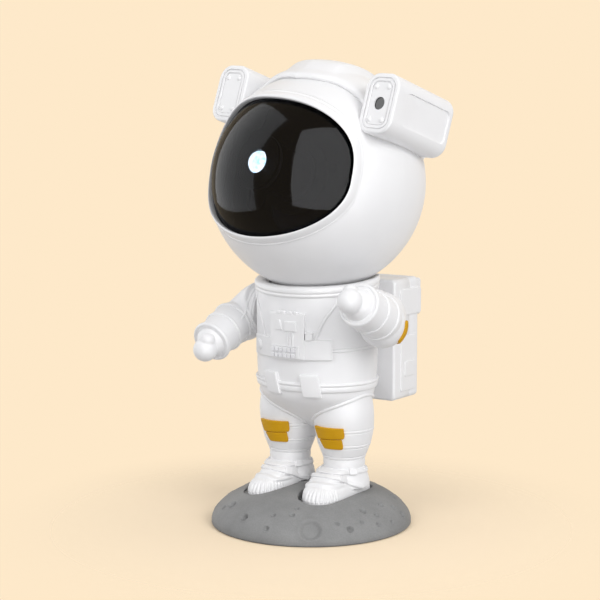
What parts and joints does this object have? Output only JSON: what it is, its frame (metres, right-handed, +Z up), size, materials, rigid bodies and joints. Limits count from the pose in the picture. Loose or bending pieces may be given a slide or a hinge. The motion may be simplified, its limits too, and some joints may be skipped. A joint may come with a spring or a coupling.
{
  "type": "planetarium projector",
  "caption": "Night-light sky projector shaped as a space-suited figure on a moon base, with a turning, nodding head that holds the lamp, lens and pattern disc.",
  "frame": {"origin": "centre of the base's underside, on the surface it stands on", "axes": "+Z up along the figure, -Y the way the figure's body faces, +X to the figure's left"},
  "size_m": [0.1206, 0.1104, 0.2255],
  "materials": {
    "white_shell": "satin white moulding",
    "moon_grey": "matt grey moulding",
    "visor_black": "high gloss, smoke dark",
    "patch_gold": "mustard paint",
    "dark_foam": "matt foam rubber",
    "black_plastic": "matt black",
    "steel": "plated",
    "ballast_iron": "raw",
    "aluminium": "milled",
    "brass": "turned",
    "lens_clear": "clear polished",
    "disc_glass": "tinted pattern glass",
    "circuit_green": "solder mask",
    "button_white": "satin"
  },
  "bodies": {
    "base": {"base_shell": "moon_grey", "base_cover": "moon_grey", "base_weight": "ballast_iron", "base_screws": "steel", "base_pad": "dark_foam"},
    "figure": {"torso_front": "white_shell", "torso_back": "white_shell", "pelvis": "white_shell", "left_leg": "white_shell", "right_leg": "white_shell", "left_boot": "white_shell", "right_boot": "white_shell", "knee_patches": "patch_gold", "belt": "white_shell", "chest_plate": "white_shell", "chest_unit": "white_shell", "chest_keys": "white_shell", "collar": "white_shell", "backpack_front": "white_shell", "backpack_rear": "white_shell"},
    "neck": {"neck_seat": "white_shell", "neck_magnet": "steel"},
    "head": {"head_shell": "white_shell", "rear_cover": "white_shell", "rear_cover_screws": "steel", "visor_rim": "white_shell", "visor": "visor_black", "hood": "white_shell", "left_lamp_housing": "white_shell", "right_lamp_housing": "white_shell", "left_lamp_cap": "white_shell", "right_lamp_cap": "white_shell", "star_window": "visor_black", "star_grating": "lens_clear", "laser_module": "brass", "optics_bulkhead": "black_plastic", "lens_carrier": "black_plastic", "lens_barrel": "black_plastic", "projection_lens": "lens_clear", "nebula_motor": "steel", "led_board": "circuit_green", "heatsink": "aluminium", "main_board": "circuit_green", "control_panel": "black_plastic", "power_inlet": "steel", "keeper_plate": "steel"},
    "nebula_wheel": {"nebula_disc": "disc_glass"},
    "motor_rotor": {"drive_roller": "dark_foam"},
    "left_arm": {"left_arm": "white_shell", "left_elbow_patch": "patch_gold", "left_shoulder_pin": "steel"},
    "right_arm": {"right_arm": "white_shell", "right_elbow_patch": "patch_gold", "right_shoulder_pin": "steel"},
    "power_button": {"power_button": "button_white"},
    "colour_button": {"colour_button": "button_white"},
    "speed_button": {"speed_button": "button_white"}
  },
  "joints": [
    {"name": "figure_lift", "type": "slide", "parent": "base", "child": "figure", "axis": [0, 0, 1], "range_m": [0, 0.03]},
    {"name": "head_turn", "type": "hinge", "parent": "figure", "child": "neck", "pos_m": [0, 0.005, 0.1665], "axis": [0, 0, 1], "continuous": true},
    {"name": "head_nod", "type": "hinge", "parent": "neck", "child": "head", "pos_m": [0, 0.005, 0.1665], "axis": [0.9914, -0.1305, 0], "range_deg": [-15, 20]},
    {"name": "left_arm_swing", "type": "hinge", "parent": "figure", "child": "left_arm", "pos_m": [0, 0.005, 0.105], "axis": [1, 0, 0], "range_deg": [-18, 100]},
    {"name": "right_arm_swing", "type": "hinge", "parent": "figure", "child": "right_arm", "pos_m": [0, 0.005, 0.105], "axis": [1, 0, 0], "range_deg": [-60, 55]},
    {"name": "nebula_spin", "type": "hinge", "parent": "head", "child": "nebula_wheel", "pos_m": [-0.00093, 0.0019, 0.15599], "axis": [-0.1249, -0.9486, 0.2907], "continuous": true},
    {"name": "motor_spin", "type": "hinge", "parent": "head", "child": "motor_rotor", "pos_m": [-0.00263, -0.00377, 0.13676], "axis": [-0.1249, -0.9486, 0.2907], "continuous": true},
    {"name": "power_button_press", "type": "slide", "parent": "head", "child": "power_button", "axis": [-0.1249, -0.9486, 0.2907], "range_m": [0, 0.0008], "stiffness_N_per_m": 500},
    {"name": "colour_button_press", "type": "slide", "parent": "head", "child": "colour_button", "axis": [-0.1249, -0.9486, 0.2907], "range_m": [0, 0.0008], "stiffness_N_per_m": 500},
    {"name": "speed_button_press", "type": "slide", "parent": "head", "child": "speed_button", "axis": [-0.1249, -0.9486, 0.2907], "range_m": [0, 0.0008], "stiffness_N_per_m": 500}
  ],
  "couplings": [
    {"joint": "motor_spin", "follows": "nebula_spin", "ratio": -5.6667}
  ]
}
